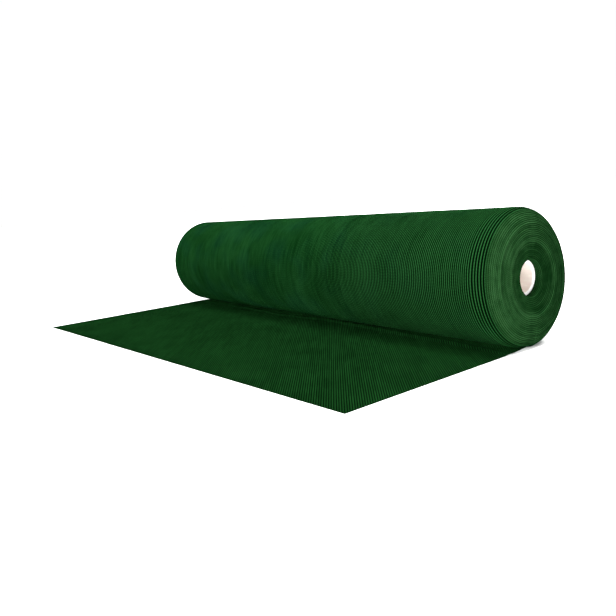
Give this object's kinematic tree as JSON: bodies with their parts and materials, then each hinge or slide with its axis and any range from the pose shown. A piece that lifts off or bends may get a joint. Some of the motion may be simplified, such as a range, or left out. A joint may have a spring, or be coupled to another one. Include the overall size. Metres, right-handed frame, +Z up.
{
  "type": "rolled shade cloth",
  "caption": "Roll of knitted green shade cloth on a tube core, lying on its side with its loose end drawn out flat.",
  "frame": {"origin": "on the floor, at the middle of the part's outline seen from above", "axes": "+X along the roll towards its creased near end, +Y from the loose end towards the roll, +Z up"},
  "size_m": [1.006, 0.557, 0.2205],
  "materials": {
    "cloth": "matte knitted net of flat plastic yarn",
    "tube": "matte, white paper-faced"
  },
  "bodies": {
    "root": {"shade_cloth": "cloth", "core_tube": "tube"}
  },
  "joints": []
}
